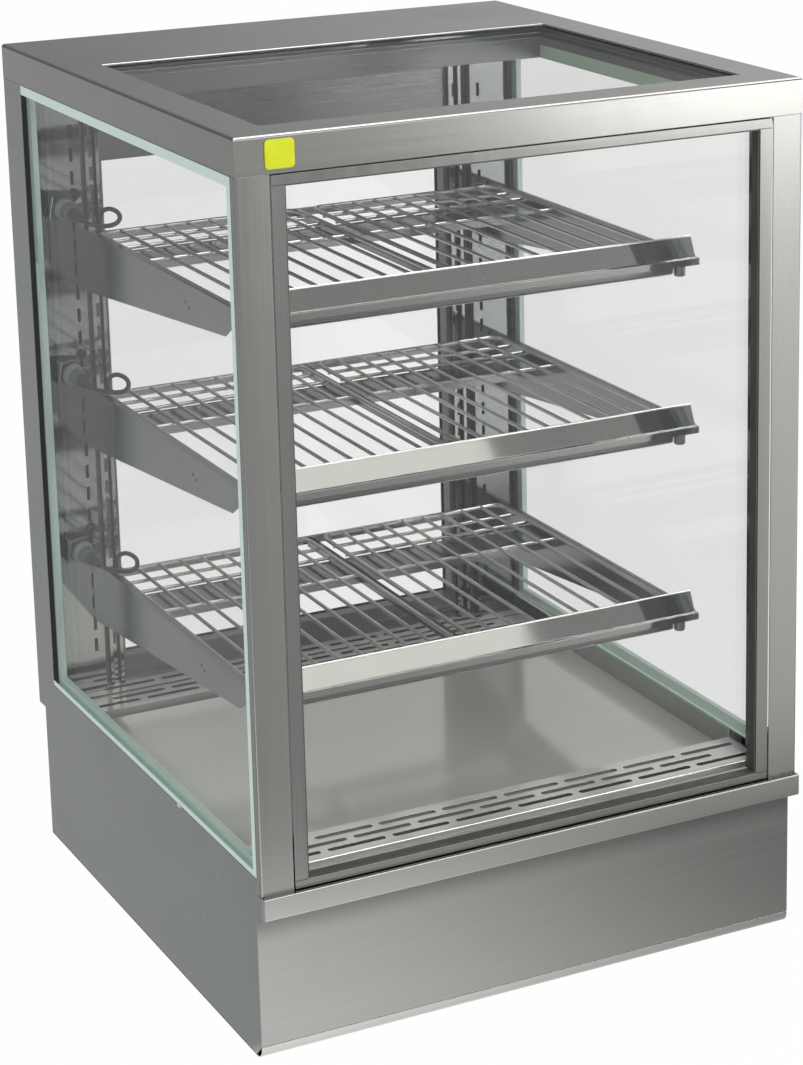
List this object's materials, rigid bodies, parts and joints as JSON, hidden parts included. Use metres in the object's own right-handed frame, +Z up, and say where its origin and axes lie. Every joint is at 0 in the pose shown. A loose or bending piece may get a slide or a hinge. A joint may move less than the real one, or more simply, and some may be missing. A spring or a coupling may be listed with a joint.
{
  "type": "hot food merchandiser",
  "caption": "Heated counter display cabinet with glazed top and sides, tilting framed front glass, hinged rear door and hooked-on wire shelves with lamps.",
  "frame": {"origin": "centre of the overall box at the surface the base stands on", "axes": "+Z up, -Y towards the customer side with the framed front glass, +X to the right seen from there"},
  "size_m": [0.6, 0.6464, 0.904],
  "materials": {
    "sheet_steel": "fine vertical brushing, satin",
    "liner_steel": "polished inner sheet",
    "polished_steel": "polished",
    "rack_chrome": "bright plated wire",
    "clear_glass": "clear float glass",
    "spacer_band": "pale aqua edge band",
    "seal_rubber": "matt black",
    "lead_rubber": "satin black",
    "black_plastic": "fine grained",
    "plug_body": "ribbed grey body and black boot",
    "collar_grey": "smooth",
    "badge_lime": "plain gloss",
    "element_sheath": "heat-tinted",
    "lamp_body": "satin"
  },
  "bodies": {
    "cabinet": {"base_floor": "sheet_steel", "base_front_panel": "sheet_steel", "base_rear_panel": "sheet_steel", "side_panel_left": "sheet_steel", "side_panel_right": "sheet_steel", "front_lip": "sheet_steel", "front_post_left": "sheet_steel", "front_post_right": "sheet_steel", "top_frame": "sheet_steel", "top_liner": "liner_steel", "top_glass": "clear_glass", "side_glass_left": "clear_glass", "side_glass_right": "clear_glass", "side_spacer_left": "spacer_band", "side_spacer_right": "spacer_band", "rear_frame": "liner_steel", "slotted_panel_left": "liner_steel", "slotted_panel_right": "liner_steel", "upright_left": "polished_steel", "upright_right": "polished_steel", "deck_pan": "polished_steel", "front_air_grille": "sheet_steel", "rear_air_grille": "sheet_steel", "badge_plate": "badge_lime", "lead_sockets": "polished_steel", "lead_plugs": "plug_body", "lead_collars": "collar_grey", "heating_element": "element_sheath", "fan_frame": "black_plastic", "plenum_plate": "sheet_steel", "control_panel": "sheet_steel", "cord_gland": "black_plastic", "front_pivot_brackets": "sheet_steel", "rear_door_pins": "polished_steel", "lead_cord_bottom": "lead_rubber", "lead_cord_middle": "lead_rubber", "lead_cord_top": "lead_rubber"},
    "front_glass": {"front_glass_frame": "sheet_steel", "front_glass": "clear_glass", "front_gasket": "seal_rubber"},
    "rear_door": {"rear_door_frame": "sheet_steel", "rear_door_glass": "clear_glass", "rear_door_gasket": "seal_rubber", "rear_door_pull": "black_plastic"},
    "fan_rotor": {"fan_impeller": "black_plastic"},
    "thermostat": {"thermostat_knob": "black_plastic"},
    "power_rocker": {"power_switch": "black_plastic"},
    "light_rocker": {"light_switch": "black_plastic"},
    "bottom_shelf": {"shelf_frame_bottom": "sheet_steel", "ticket_rail_bottom": "polished_steel", "shelf_lamp_bottom": "lamp_body", "rack_pair_bottom": "rack_chrome"},
    "middle_shelf": {"shelf_frame_middle": "sheet_steel", "ticket_rail_middle": "polished_steel", "shelf_lamp_middle": "lamp_body", "rack_pair_middle": "rack_chrome"},
    "top_shelf": {"shelf_frame_top": "sheet_steel", "ticket_rail_top": "polished_steel", "shelf_lamp_top": "lamp_body", "rack_pair_top": "rack_chrome"}
  },
  "joints": [
    {"name": "front_glass_tilt", "type": "hinge", "parent": "cabinet", "child": "front_glass", "pos_m": [0, -0.31095, 0.202], "axis": [1, 0, 0], "range_deg": [0, 60]},
    {"name": "rear_door_swing", "type": "hinge", "parent": "cabinet", "child": "rear_door", "pos_m": [0.262, 0.31325, 0.51], "axis": [0, 0, -1], "range_deg": [0, 95]},
    {"name": "fan_spin", "type": "hinge", "parent": "cabinet", "child": "fan_rotor", "pos_m": [0, 0.22325, 0.081], "axis": [0, 0, 1], "continuous": true},
    {"name": "thermostat_turn", "type": "hinge", "parent": "cabinet", "child": "thermostat", "pos_m": [-0.105, 0.30325, 0.078], "axis": [0, 1, 0], "range_deg": [0, 270]},
    {"name": "power_rock", "type": "hinge", "parent": "cabinet", "child": "power_rocker", "pos_m": [-0.045, 0.29975, 0.078], "axis": [1, 0, 0], "range_deg": [0, 16]},
    {"name": "light_rock", "type": "hinge", "parent": "cabinet", "child": "light_rocker", "pos_m": [-0.005, 0.29975, 0.078], "axis": [1, 0, 0], "range_deg": [0, 16]},
    {"name": "bottom_shelf_lift", "type": "hinge", "parent": "cabinet", "child": "bottom_shelf", "pos_m": [0, 0.27425, 0.325], "axis": [-1, 0, 0], "range_deg": [0, 12], "deforming": ["lead_cord_bottom"]},
    {"name": "middle_shelf_lift", "type": "hinge", "parent": "cabinet", "child": "middle_shelf", "pos_m": [0, 0.27425, 0.5282], "axis": [-1, 0, 0], "range_deg": [0, 12], "deforming": ["lead_cord_middle"]},
    {"name": "top_shelf_lift", "type": "hinge", "parent": "cabinet", "child": "top_shelf", "pos_m": [0, 0.27425, 0.706], "axis": [-1, 0, 0], "range_deg": [0, 12], "deforming": ["lead_cord_top"]}
  ]
}
